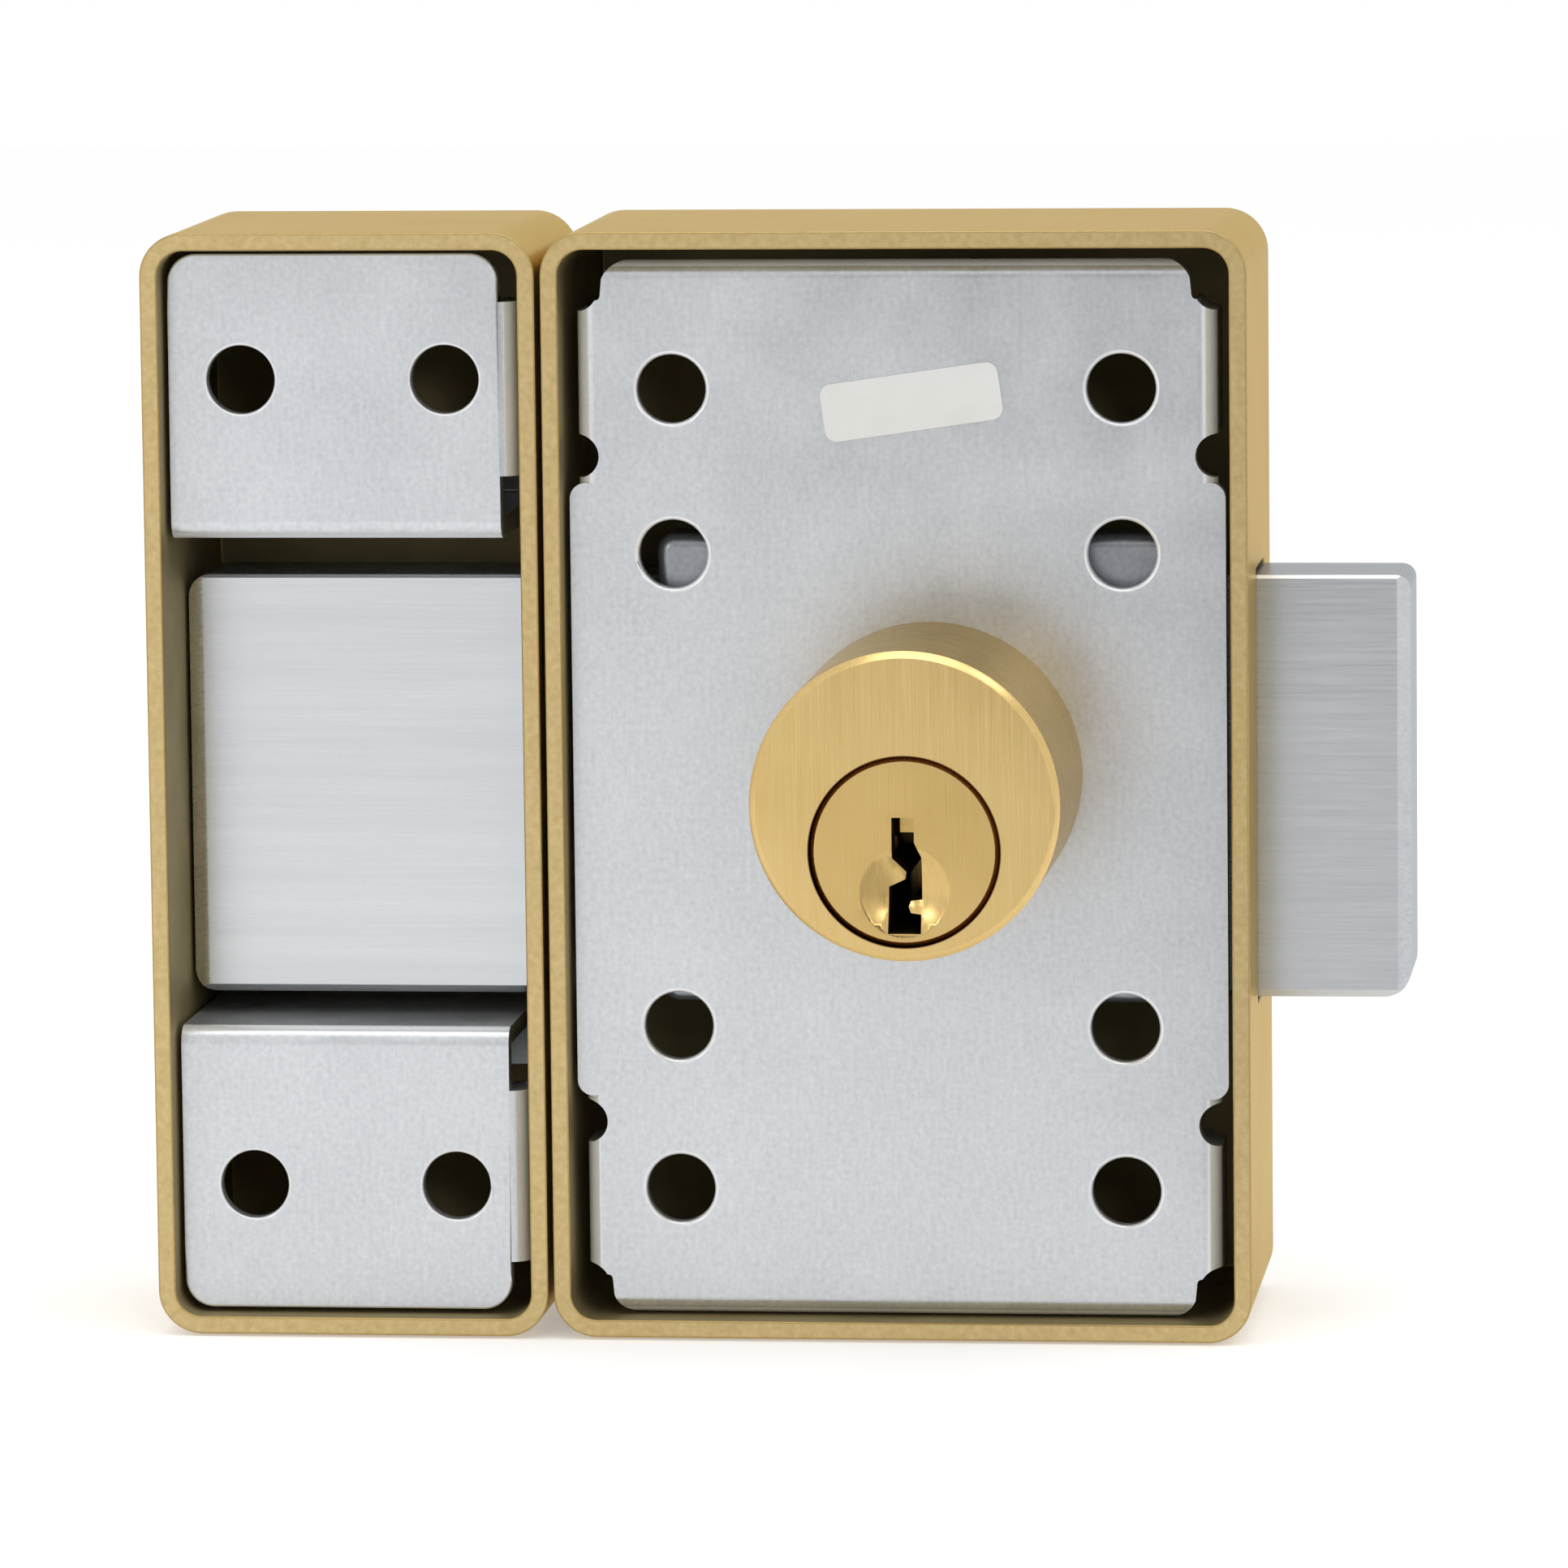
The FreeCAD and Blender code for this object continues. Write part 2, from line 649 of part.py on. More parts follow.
def rack_gaps(left, right):
    """Tooth spaces of the rack on the pocket's lower side, meshing with the pinion at rest."""
    pitch = math.pi * module
    slope = math.tan(math.radians(pressure_angle))
    line = plug_z - pitch_radius
    tip = line + rack_addendum
    root = line - module - root_clearance
    half = pitch / 4 + tooth_backlash / 2
    half_tip = half + (tip - line) * slope
    half_root = half - (line - root) * slope
    first = math.ceil((left + half_tip - cylinder_x) / pitch)
    last = math.floor((right - half_tip - cylinder_x) / pitch)
    gaps = []
    for k in range(first, last + 1):
        x = cylinder_x + k * pitch
        outline = [(x - half_tip, tip + 0.01), (x - half_root, root), (x + half_root, root),
                   (x + half_tip, tip + 0.01)]
        gaps.append(prism_y(outline, pocket_floor, bolt_far + 1))
    return gaps


# Bolt: one bar with rounded ends; pocket, rack and slots are on its hidden side and middle
def bolt():
    bar = box(bolt_left, bolt_right, bolt_near, bolt_far, bolt_low, bolt_high)
    along = [e for e in bar.Edges if abs(e.tangentAt(e.FirstParameter).x) > 0.999]
    low_near = [e for e in along if e.CenterOfMass.y < bolt_near + 0.1
                and e.CenterOfMass.z < bolt_low + 0.1]
    others = [e for e in along if not e.isSame(low_near[0])]
    bar = bar.makeChamfer(bolt_edge, others)
    low_near = [e for e in bar.Edges if abs(e.CenterOfMass.y - bolt_near) < 1e-6
                and abs(e.CenterOfMass.z - bolt_low) < 1e-6]
    bar = bar.makeChamfer(bolt_low_bevel, low_near)
    for x, z, sx, sz, radius in (
            (bolt_left, bolt_low, 1, 1, bolt_keeper_corner),
            (bolt_left, bolt_high, 1, -1, bolt_keeper_corner),
            (bolt_right, bolt_low, -1, 1, bolt_tail_low_corner),
            (bolt_right, bolt_high, -1, -1, bolt_tail_top_corner)):
        x0, x1 = sorted((x - sx, x + sx * radius))
        z0, z1 = sorted((z - sz, z + sz * radius))
        corner = box(x0, x1, bolt_near - 1, bolt_far + 1, z0, z1)
        round_rod = rod(x + sx * radius, z + sz * radius, radius, bolt_near - 2, bolt_far + 2)
        bar = bar.cut(corner.cut(round_rod))
    z0 = bolt_low - 1
    z1 = bolt_high + 1
    ends = [((bolt_left - 1, bolt_near - 1), (bolt_left + bolt_keeper_bevel, bolt_near - 1),
             (bolt_left + bolt_keeper_bevel, bolt_near), (bolt_left, bolt_near + bolt_keeper_bevel_depth),
             (bolt_left - 1, bolt_near + bolt_keeper_bevel_depth)),
            ((bolt_right + 1, bolt_near - 1), (bolt_right - bolt_tail_bevel, bolt_near - 1),
             (bolt_right - bolt_tail_bevel, bolt_near), (bolt_right, bolt_near + bolt_tail_bevel_depth),
             (bolt_right + 1, bolt_near + bolt_tail_bevel_depth)),
            ((bolt_left - 1, bolt_far + 1), (bolt_left + bolt_tail_bevel_depth, bolt_far + 1),
             (bolt_left + bolt_tail_bevel_depth, bolt_far), (bolt_left, bolt_far - bolt_tail_bevel_depth),
             (bolt_left - 1, bolt_far - bolt_tail_bevel_depth))]
    for outline in ends:
        bar = bar.cut(prism_z(outline, z0, z1))
    reach = tip_radius + pocket_clearance
    left = cylinder_x - bolt_throw - reach
    right = cylinder_x + reach
    floor_z = plug_z - pitch_radius + rack_addendum
    bar = bar.cut(box(left, right, pocket_floor, bolt_far + 1, floor_z, plug_z + reach))
    for gap in rack_gaps(left, right):
        bar = bar.cut(gap)
    slot = box(cylinder_x - bolt_throw, cylinder_x, bolt_near - 1, pocket_floor + 1,
               plug_z - web_slot_half, plug_z + web_slot_half)
    for x in (cylinder_x - bolt_throw, cylinder_x):
        slot = slot.fuse(rod(x, plug_z, web_slot_half, bolt_near - 1, pocket_floor + 1))
    bar = bar.cut(slot)
    return bar.cut(rod(stop_pin_x, stop_pin_rise, stop_pin_radius, bolt_far - stop_pin_grip,
                       bolt_far + 1))


def bolt_stop_pin():
    return rod(stop_pin_x, stop_pin_rise, stop_pin_radius, bolt_far - stop_pin_grip,
               guide_far - 0.4)


# Brake: a bowed leaf that keeps the bolt from creeping
def bolt_brake_spring():
    y0 = tray_far
    top = bolt_near - spring_gap
    t = spring_thickness
    bow_start = spring_x + spring_foot
    bow_end = bow_start + spring_span
    middle = (bow_start + bow_end) / 2
    low = Part.Arc(V(bow_start, y0, 0), V(middle, top - t, 0), V(bow_end, y0, 0)).toShape()
    high = Part.Arc(V(bow_end, y0 + t, 0), V(middle, top, 0), V(bow_start, y0 + t, 0)).toShape()
    outline = Part.Wire([
        Part.makeLine(V(spring_x, y0, 0), V(bow_start, y0, 0)), low,
        Part.makeLine(V(bow_end, y0, 0), V(bow_end, y0 + t, 0)), high,
        Part.makeLine(V(bow_start, y0 + t, 0), V(spring_x, y0 + t, 0)),
        Part.makeLine(V(spring_x, y0 + t, 0), V(spring_x, y0, 0))])
    leaf = Part.Face(outline).extrude(V(0, 0, spring_width))
    leaf.translate(V(0, 0, stop_pin_rise - spring_width / 2))
    return leaf.cut(rod(rivet_x, stop_pin_rise, rivet_radius, y0 - 1, y0 + t + 1))


def brake_rivet():
    seat = tray_far + spring_thickness
    rivet = rod(rivet_x, stop_pin_rise, rivet_radius, tray_near - 0.1, seat + 0.1)
    for y0, y1 in ((tray_near - rivet_head_height, tray_near), (seat, seat + rivet_head_height)):
        rivet = rivet.fuse(rod(rivet_x, stop_pin_rise, rivet_head_radius, y0, y1))
    return rivet.removeSplitter()


# Posts on the back plate take the screws that hold the cover
def cover_posts():
    posts = []
    for side in (-1, 1):
        post = rod(0, side * post_spacing / 2, post_radius, plate_thickness, front_inner_y)
        hole = rod(0, side * post_spacing / 2, cover_screw_radius + thread_clearance,
                   front_inner_y - cover_screw_grip, front_inner_y + 1)
        posts.append(post.cut(hole))
    return posts


def cover_screws(x, places):
    return [head_screw(x, z, front_y, -1, cover_screw_radius, cover_screw_grip,
                      cover_screw_head_radius, cover_screw_head_height) for z in places]


# Keeper: a smaller hood on two bent channels that stand above and below the bolt
def keeper_cover():
    cover = pan(keeper_left, keeper_right, front_y, rim_y, cover_bottom, cover_top,
                cover_wall, cover_corner, cover_front_round)
    cover = cover.cut(bolt_opening(keeper_right - cover_wall - 1, keeper_right + 1))
    for side in (-1, 1):
        cover = cover.cut(rod(keeper_x, cover_rise + side * keeper_screw_rise,
                              cover_screw_radius + hole_clearance, front_inner_y - 1, front_y + 1))
    return cover


def keeper_channel(side):
    """side is +1 for the channel above the bolt and -1 for the one below."""
    t = channel_thickness
    left = keeper_left + cover_wall + channel_side_gap
    right = keeper_right - cover_wall - channel_side_gap
    foot_right = right - channel_flange_step
    inner = channel_inner
    outer = cover_height / 2 - cover_wall - channel_end_gap
    foot = box(left, foot_right, 0, t, inner, outer)
    corners = [e for e in edges_along_y(foot) if abs(e.CenterOfMass.z - outer) < 1e-6]
    foot = foot.makeFillet(channel_corner, corners)
    flange_low = inner + channel_flange_start
    flange_high = flange_low + channel_flange_length
    side_wall = box(foot_right - t, right, 0, channel_flange_depth, flange_low, flange_high)
    side_wall = side_wall.cut(box(foot_right - t - 1, right - t, t, channel_flange_depth + 1,
                                  flange_low - 1, flange_high + 1))
    bend = [e for e in side_wall.Edges if abs(e.CenterOfMass.x - right) < 1e-6
            and abs(e.CenterOfMass.y) < 1e-6]
    side_wall = side_wall.makeFillet(bend_round, bend)
    channel = foot.fuse(side_wall)
    channel = channel.fuse(box(left, foot_right, 0, front_inner_y, inner, inner + t))
    channel = channel.fuse(box(left, foot_right, front_inner_y - t, front_inner_y, inner,
                               inner + channel_back_flange))
    channel = channel.removeSplitter()
    bends = [e for e in channel.Edges
             if all(abs(v.Z - inner) < 1e-6 for v in e.Vertexes)
             and (all(abs(v.Y) < 1e-6 for v in e.Vertexes)
                  or all(abs(v.Y - front_inner_y) < 1e-6 for v in e.Vertexes))]
    channel = channel.makeFillet(bend_round, bends)
    relief = cover_front_round - cover_wall
    corner = [(left - 1, front_inner_y - relief), (left, front_inner_y - relief),
              (left + relief, front_inner_y), (left + relief, front_inner_y + 1),
              (left - 1, front_inner_y + 1)]
    channel = channel.cut(prism_z(corner, inner - 1, inner + channel_back_flange + 1))
    for sx in (-1, 1):
        x = keeper_x + sx * keeper_columns / 2
        channel = channel.cut(rod(x, keeper_rows / 2, screw_hole_radius, -1, t + 1))
    channel = channel.cut(rod(keeper_x, keeper_screw_rise, cover_screw_radius + thread_clearance,
                              front_inner_y - t - 1, front_inner_y + 1))
    if side < 0:
        channel = channel.mirror(V(0, 0, 0), V(0, 0, 1))
    channel.translate(V(0, 0, cover_rise))
    return channel


save("case_cover", case_cover())
save("back_plate", back_plate())
save("plate_label", plate_label())
save("mechanism_tray", mechanism_tray())
save("tray_spacers", tray_spacers())
save("cover_posts", cover_posts())
save("cover_screws", cover_screws(0, (-post_spacing / 2, post_spacing / 2)))
save("bolt", bolt())
save("bolt_stop_pin", bolt_stop_pin())
save("bolt_guide", bolt_guide())
save("bolt_brake_spring", bolt_brake_spring())
save("brake_rivet", brake_rivet())
save("drive_pinion", drive_pinion())
for prefix, inner in (("outer_", False), ("inner_", True)):
    save(prefix + "cylinder_body", place(cylinder_body(), inner))
    save(prefix + "plug", place(plug(), inner))
    save(prefix + "key_pins", place(key_pins(), inner))
    save(prefix + "driver_pins", place(driver_pins(), inner))
    save(prefix + "pin_springs", place(pin_springs(), inner))
    save(prefix + "plug_clip", place(plug_clip(), inner))
    tail_end = cylinder_length + blade_reach if not inner else cylinder_length - 0.1
    blade_start = cylinder_length - 0.1 - blade_depth
    save(prefix + "tailpiece", place(blade_box(0, blade_start, tail_end), inner))
save("outer_cylinder_screws", outer_cylinder_screws())
save("inner_cylinder_screws", inner_cylinder_screws())
save("inner_ring_nut", inner_ring_nut())
save("keeper_cover", keeper_cover())
save("keeper_upper_channel", keeper_channel(1))
save("keeper_lower_channel", keeper_channel(-1))
save("keeper_cover_screws",
     cover_screws(keeper_x, (cover_rise - keeper_screw_rise, cover_rise + keeper_screw_rise)))
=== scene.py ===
import bpy
import bmesh
import json
import math
from mathutils import Matrix, Vector


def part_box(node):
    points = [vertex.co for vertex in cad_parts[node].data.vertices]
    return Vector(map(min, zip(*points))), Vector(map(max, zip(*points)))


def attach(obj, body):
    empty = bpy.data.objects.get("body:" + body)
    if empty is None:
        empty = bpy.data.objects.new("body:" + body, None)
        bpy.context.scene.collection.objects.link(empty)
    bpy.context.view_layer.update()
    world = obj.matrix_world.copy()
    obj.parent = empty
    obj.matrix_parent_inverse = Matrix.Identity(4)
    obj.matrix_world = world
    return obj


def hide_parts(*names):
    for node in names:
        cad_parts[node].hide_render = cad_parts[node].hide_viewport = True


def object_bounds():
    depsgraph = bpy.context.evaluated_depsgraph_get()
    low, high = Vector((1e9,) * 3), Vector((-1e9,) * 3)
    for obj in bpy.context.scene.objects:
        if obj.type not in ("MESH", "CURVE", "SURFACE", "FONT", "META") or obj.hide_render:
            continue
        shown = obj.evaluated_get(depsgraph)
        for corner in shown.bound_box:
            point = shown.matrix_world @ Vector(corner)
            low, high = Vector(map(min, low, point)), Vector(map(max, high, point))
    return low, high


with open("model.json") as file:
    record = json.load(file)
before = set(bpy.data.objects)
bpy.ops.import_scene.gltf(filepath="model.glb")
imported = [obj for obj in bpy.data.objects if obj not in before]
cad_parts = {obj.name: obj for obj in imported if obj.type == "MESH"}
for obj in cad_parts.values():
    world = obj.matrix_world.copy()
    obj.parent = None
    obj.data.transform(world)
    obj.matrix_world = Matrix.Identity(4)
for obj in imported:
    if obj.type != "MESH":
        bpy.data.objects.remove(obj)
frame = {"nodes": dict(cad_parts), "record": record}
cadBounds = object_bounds()
cadNodes = frame["nodes"]
mm = 0.001  # sizes below are written in millimetres, the scene is in metres
print("frame loaded:", len(cadNodes), "nodes")


# One colour helper and one node helper serve every material
def linearColour(hexCode):
    channels = [int(hexCode[i:i + 2], 16) / 255 for i in (1, 3, 5)]
    return [c / 12.92 if c <= 0.04045 else ((c + 0.055) / 1.055) ** 2.4 for c in channels] + [1.0]


def addNode(tree, kind, settings=None, links=None):
    node = tree.nodes.new(kind)
    for name, value in (settings or {}).items():
        if isinstance(name, int) or name in node.inputs:
            node.inputs[name].default_value = value
        else:
            setattr(node, name, value)
    for socket, source in (links or {}).items():
        tree.links.new(source, node.inputs[socket])
    return node


def startMaterial(name, metallic, roughness):
    material = bpy.data.materials.new(name)
    material.use_nodes = True
    shader = material.node_tree.nodes["Principled BSDF"]
    shader.inputs["Metallic"].default_value = metallic
    shader.inputs["Roughness"].default_value = roughness
    return material, material.node_tree, shader


# A pattern mixes the two tones of a surface
def mixTones(tree, look, pattern):
    tones = addNode(tree, "ShaderNodeMix", {"data_type": "RGBA", 6: linearColour(look["dull"]),
                                            7: linearColour(look["pale"])}, {0: pattern})
    return tones.outputs[2]


# Most values of a noise pattern lie between these two. They are spread over the whole range.
noiseMiddle = {"From Min": 0.3, "From Max": 0.7}
reliefStrength = 0.5


# A worked metal takes its colour, a gloss that wanders with one pattern and a relief from another
def dressMetal(tree, shader, look, colour, glossPattern, reliefPattern):
    gloss = addNode(tree, "ShaderNodeMapRange",
                    {**noiseMiddle, "To Min": look["smooth"], "To Max": look["rough"]},
                    {"Value": glossPattern})
    relief = addNode(tree, "ShaderNodeBump",
                     {"Strength": reliefStrength, "Distance": look["bump"] * mm},
                     {"Height": reliefPattern})
    shader.inputs["Specular Tint"].default_value = linearColour(look["edgeOn"])
    tree.links.new(colour, shader.inputs["Base Color"])
    tree.links.new(gloss.outputs[0], shader.inputs["Roughness"])
    tree.links.new(relief.outputs[0], shader.inputs["Normal"])


# Steel sheet with a bright zinc plating: even and pale, with faint cloudy patches, a fine grain and
# short rolling lines that run up and down. The plating's crystals scatter a quarter of the light, so
# the sheet stays pale from every side. Grain and lines are drawn some four times coarser than real,
# or they would be lost between the pixels.
zincLook = {"name": "zincPlatedSteel", "pale": "#e2e5e8", "dull": "#b9bcc0", "patch": 9.0,
            "patchShare": 0.55, "grain": 0.42, "line": 0.3, "lineLength": 1.8, "lineShare": 0.3,
            "smooth": 0.26, "rough": 0.36, "bump": 0.005, "metal": 0.75, "edgeOn": "#c4c6c9"}
# The same plating on the rounded edges and the bends, drawn paler and less metallic as a painted
# highlight, so they read as bright lines. It scatters more light than the plating really would, to stay
# bright whatever it mirrors.
edgeHighlightLook = dict(zincLook, name="paintedHighlightZincEdge", pale="#f3f4f5", dull="#e0e2e4", metal=0.35,
                     smooth=0.18, rough=0.26, edgeOn="#f3f4f5")
# The tray inside is drawn darker than the plate, a painted shade for the dim inside of the case
trayShadeLook = dict(zincLook, name="paintedShadeTray", pale="#aeb1b5", dull="#878b90")


def zincPlatedSteel(look):
    material, tree, shader = startMaterial(look["name"], look["metal"], look["rough"])
    place = addNode(tree, "ShaderNodeTexCoord").outputs["Object"]
    patches = addNode(tree, "ShaderNodeTexNoise", {"Scale": 1 / (look["patch"] * mm), "Detail": 3.0},
                      {"Vector": place})
    grain = addNode(tree, "ShaderNodeTexNoise", {"Scale": 1 / (look["grain"] * mm), "Detail": 2.0},
                    {"Vector": place})
    across = 1 / (look["line"] * mm)
    along = 1 / (look["lineLength"] * mm)
    upright = addNode(tree, "ShaderNodeMapping", {"Scale": (across, across, along)},
                      {"Vector": place})
    lines = addNode(tree, "ShaderNodeTexNoise", {"Scale": 1.0, "Detail": 1.0},
                    {"Vector": upright.outputs[0]})
    both = addNode(tree, "ShaderNodeMix", {"data_type": "FLOAT", 0: look["lineShare"]},
                   {2: grain.outputs["Fac"], 3: lines.outputs["Fac"]})
    speckle = addNode(tree, "ShaderNodeMapRange", noiseMiddle, {"Value": both.outputs[0]})
    tone = addNode(tree, "ShaderNodeMix", {"data_type": "FLOAT", 0: look["patchShare"]},
                   {2: speckle.outputs[0], 3: patches.outputs["Fac"]})
    colour = mixTones(tree, look, tone.outputs[0])
    dressMetal(tree, shader, look, colour, patches.outputs["Fac"], both.outputs[0])
    return material


# Cold-drawn steel bar, ground lengthwise: long fine lines from end to end, a little uneven in tone.
# The grinding lines are drawn some four times wider than real.
boltLook = {"pale": "#d3d6d8", "dull": "#c4c7ca", "line": 0.25, "lineLength": 9.0, "wideLine": 1.6,
            "wideLength": 50.0, "wideShare": 0.4, "smooth": 0.25, "rough": 0.33, "bump": 0.006,
            "edgeOn": "#bcbec1"}


def groundSteelBar(look):
    material, tree, shader = startMaterial("groundSteelBar", 1.0, look["rough"])
    place = addNode(tree, "ShaderNodeTexCoord").outputs["Object"]
    across = 1 / (look["line"] * mm)
    along = 1 / (look["lineLength"] * mm)
    fine = addNode(tree, "ShaderNodeMapping", {"Scale": (along, across, across)}, {"Vector": place})
    fineLines = addNode(tree, "ShaderNodeTexNoise", {"Scale": 1.0, "Detail": 2.0},
                        {"Vector": fine.outputs[0]})
    wideAcross = 1 / (look["wideLine"] * mm)
    wideAlong = 1 / (look["wideLength"] * mm)
    wide = addNode(tree, "ShaderNodeMapping", {"Scale": (wideAlong, wideAcross, wideAcross)},
                   {"Vector": place})
    wideLines = addNode(tree, "ShaderNodeTexNoise", {"Scale": 1.0, "Detail": 2.0},
                        {"Vector": wide.outputs[0]})
    tone = addNode(tree, "ShaderNodeMix", {"data_type": "FLOAT", 0: look["wideShare"]},
                   {2: fineLines.outputs["Fac"], 3: wideLines.outputs["Fac"]})
    spread = addNode(tree, "ShaderNodeMapRange", noiseMiddle, {"Value": tone.outputs[0]})
    colour = mixTones(tree, look, spread.outputs[0])
    dressMetal(tree, shader, look, colour, fineLines.outputs["Fac"], fineLines.outputs["Fac"])
    return material


# Drawn brass under clear lacquer: satin lines run round the hood's walls and up its front. They are
# drawn some three times wider than real.
satinLook = {"name": "satinDrawnBrass", "pale": "#d4bf8e", "dull": "#c5ac77", "line": 0.22,
             "lineLength": 30.0, "cloud": 14.0, "smooth": 0.26, "rough": 0.4, "bump": 0.012,
             "edgeOn": "#dcc999"}
# Grime and old polish stay as a thin dark line in the round joint between plug and cylinder
plugJoint = {"centre": (2.4, 0, -1.95), "radius": 7.1, "half": 0.03, "fade": 0.06, "tone": "#6b4a2c"}
# Solid brass bar turned on a lathe, then faced with a straight brush: rings round the barrel and
# fine upright lines across the face, drawn some three times wider than real
turnedLook = {"name": "turnedBrass", "pale": "#e0c386", "dull": "#cfb072", "line": 0.16,
              "lineLength": 9.0, "cloud": 8.0, "smooth": 0.22, "rough": 0.32, "bump": 0.008,
              "edgeOn": "#e6dcc4", "joint": plugJoint}
# The plug is turned from the same bar, and keys have polished it, so it is smoother and deeper
plugLook = {"name": "facedPlugBrass", "pale": "#d3b578", "dull": "#c2a365", "line": 0.14,
            "lineLength": 7.0, "cloud": 6.0, "smooth": 0.18, "rough": 0.28, "bump": 0.008,
            "edgeOn": "#e6d3a4", "joint": plugJoint}
# A face that looks further along y than frontFacing has upright lines. The clouds take a share of
# the tone, and tones from low to high are spread over the two colours.
brushing = {"frontFacing": 0.7, "cloudShare": 0.35, "low": 0.32, "high": 0.68}


def darkJoint(tree, place, cleanColour, joint):
    flat = addNode(tree, "ShaderNodeVectorMath", {"operation": "MULTIPLY", 1: (1, 0, 1)}, {0: place})
    centre = tuple(v * mm for v in joint["centre"])
    reach = addNode(tree, "ShaderNodeVectorMath", {"operation": "DISTANCE", 1: centre},
                    {0: flat.outputs[0]})
    offset = addNode(tree, "ShaderNodeMath", {"operation": "SUBTRACT", 1: joint["radius"] * mm},
                     {0: reach.outputs["Value"]})
    away = addNode(tree, "ShaderNodeMath", {"operation": "ABSOLUTE"}, {0: offset.outputs[0]})
    clean = addNode(tree, "ShaderNodeMapRange", {"From Min": joint["half"] * mm,
                                                 "From Max": (joint["half"] + joint["fade"]) * mm},
                    {"Value": away.outputs[0]})
    joined = addNode(tree, "ShaderNodeMix", {"data_type": "RGBA", 6: linearColour(joint["tone"])},
                     {0: clean.outputs[0], 7: cleanColour})
    return joined.outputs[2]


def brushedBrass(look):
    material, tree, shader = startMaterial(look["name"], 1.0, look["rough"])
    place = addNode(tree, "ShaderNodeTexCoord").outputs["Object"]
    normal = addNode(tree, "ShaderNodeNewGeometry").outputs["True Normal"]
    face = addNode(tree, "ShaderNodeSeparateXYZ", {}, {0: normal})
    fine = 1 / (look["line"] * mm)
    along = 1 / (look["lineLength"] * mm)
    ringwise = addNode(tree, "ShaderNodeMapping", {"Scale": (along, fine, along)}, {"Vector": place})
    upward = addNode(tree, "ShaderNodeMapping", {"Scale": (fine, fine, along)}, {"Vector": place})
    facing = addNode(tree, "ShaderNodeMath", {"operation": "ABSOLUTE"}, {0: face.outputs["Y"]})
    isFront = addNode(tree, "ShaderNodeMath",
                      {"operation": "GREATER_THAN", 1: brushing["frontFacing"]},
                      {0: facing.outputs[0]})
    lie = addNode(tree, "ShaderNodeMix", {"data_type": "VECTOR"},
                  {0: isFront.outputs[0], 4: ringwise.outputs[0], 5: upward.outputs[0]})
    lines = addNode(tree, "ShaderNodeTexNoise", {"Scale": 1.0, "Detail": 3.0, "Roughness": 0.6},
                    {"Vector": lie.outputs[1]})
    clouds = addNode(tree, "ShaderNodeTexNoise", {"Scale": 1 / (look["cloud"] * mm), "Detail": 2.0},
                     {"Vector": place})
    tone = addNode(tree, "ShaderNodeMix", {"data_type": "FLOAT", 0: brushing["cloudShare"]},
                   {2: lines.outputs["Fac"], 3: clouds.outputs["Fac"]})
    spread = addNode(tree, "ShaderNodeMapRange",
                     {"From Min": brushing["low"], "From Max": brushing["high"]},
                     {"Value": tone.outputs[0]})
    colour = mixTones(tree, look, spread.outputs[0])
    if "joint" in look:
        colour = darkJoint(tree, place, colour, look["joint"])
    dressMetal(tree, shader, look, colour, lines.outputs["Fac"], lines.outputs["Fac"])
    return material


# The hood's inside, left as it came from the press: dull, browned by the annealing, near black in
# the corners that little light reaches
insideLook = {"name": "brownedRawBrass", "pale": "#b5a880", "dull": "#8f805a", "blotch": 6.0,
              "detail": 5.0, "metal": 1.0, "rough": 0.62}
# The walls of the keyway are drawn nearly black, a painted shade for the deep slot
keywayShadeLook = {"name": "paintedShadeKeyway", "pale": "#4d4129", "dull": "#2c2417", "blotch": 2.0,
              "detail": 5.0, "metal": 1.0, "rough": 0.6}
# The label is white printed film, a little greyer where it has been handled
labelLook = {"name": "whiteFilm", "pale": "#ebecea", "dull": "#e0e1de", "blotch": 3.0,
             "detail": 3.0, "metal": 0.0, "rough": 0.5}


def blotched(look):
    material, tree, shader = startMaterial(look["name"], look["metal"], look["rough"])
    place = addNode(tree, "ShaderNodeTexCoord").outputs["Object"]
    blotches = addNode(tree, "ShaderNodeTexNoise",
                       {"Scale": 1 / (look["blotch"] * mm), "Detail": look["detail"]},
                       {"Vector": place})
    tree.links.new(mixTones(tree, look, blotches.outputs["Fac"]), shader.inputs["Base Color"])
    return material


# The hood's sheet where it was sheared: the cut rims, dull and finely torn, with no direction. The
# torn grain is drawn some five times coarser than real.
rimLook = {"name": "shearedBrassRim", "pale": "#dac492", "dull": "#b09863", "grain": 0.55,
           "rough": 0.42}
# Both edges of the rim, rolled over by the shear, are drawn a darker brown than the rim
rimEdgeLook = {"name": "darkerRimEdge", "pale": "#c0a770", "dull": "#a18855", "grain": 0.5,
               "rough": 0.4}
# Small steel and brass parts, turned or stamped and then tumbled, so the tone wanders a little. The
# dents of the drum are drawn some three times coarser than real.
smallParts = {
    "machined_steel": {"name": "tumbledSteel", "pale": "#b4b7ba", "dull": "#94989c", "grain": 0.5,
                       "rough": 0.38},
    "spring_steel": {"name": "bluedSpringSteel", "pale": "#7b828b", "dull": "#59606a", "grain": 0.8,
                     "rough": 0.34},
    "screw_brass": {"name": "polishedScrewBrass", "pale": "#dcc283", "dull": "#c7a965", "grain": 0.6,
                    "rough": 0.26},
    "pin_brass": {"name": "turnedPinBrass", "pale": "#d9bb78", "dull": "#c4a15c", "grain": 0.4,
                  "rough": 0.3}}
grainRelief = {"strength": 0.4, "depth": 0.01}


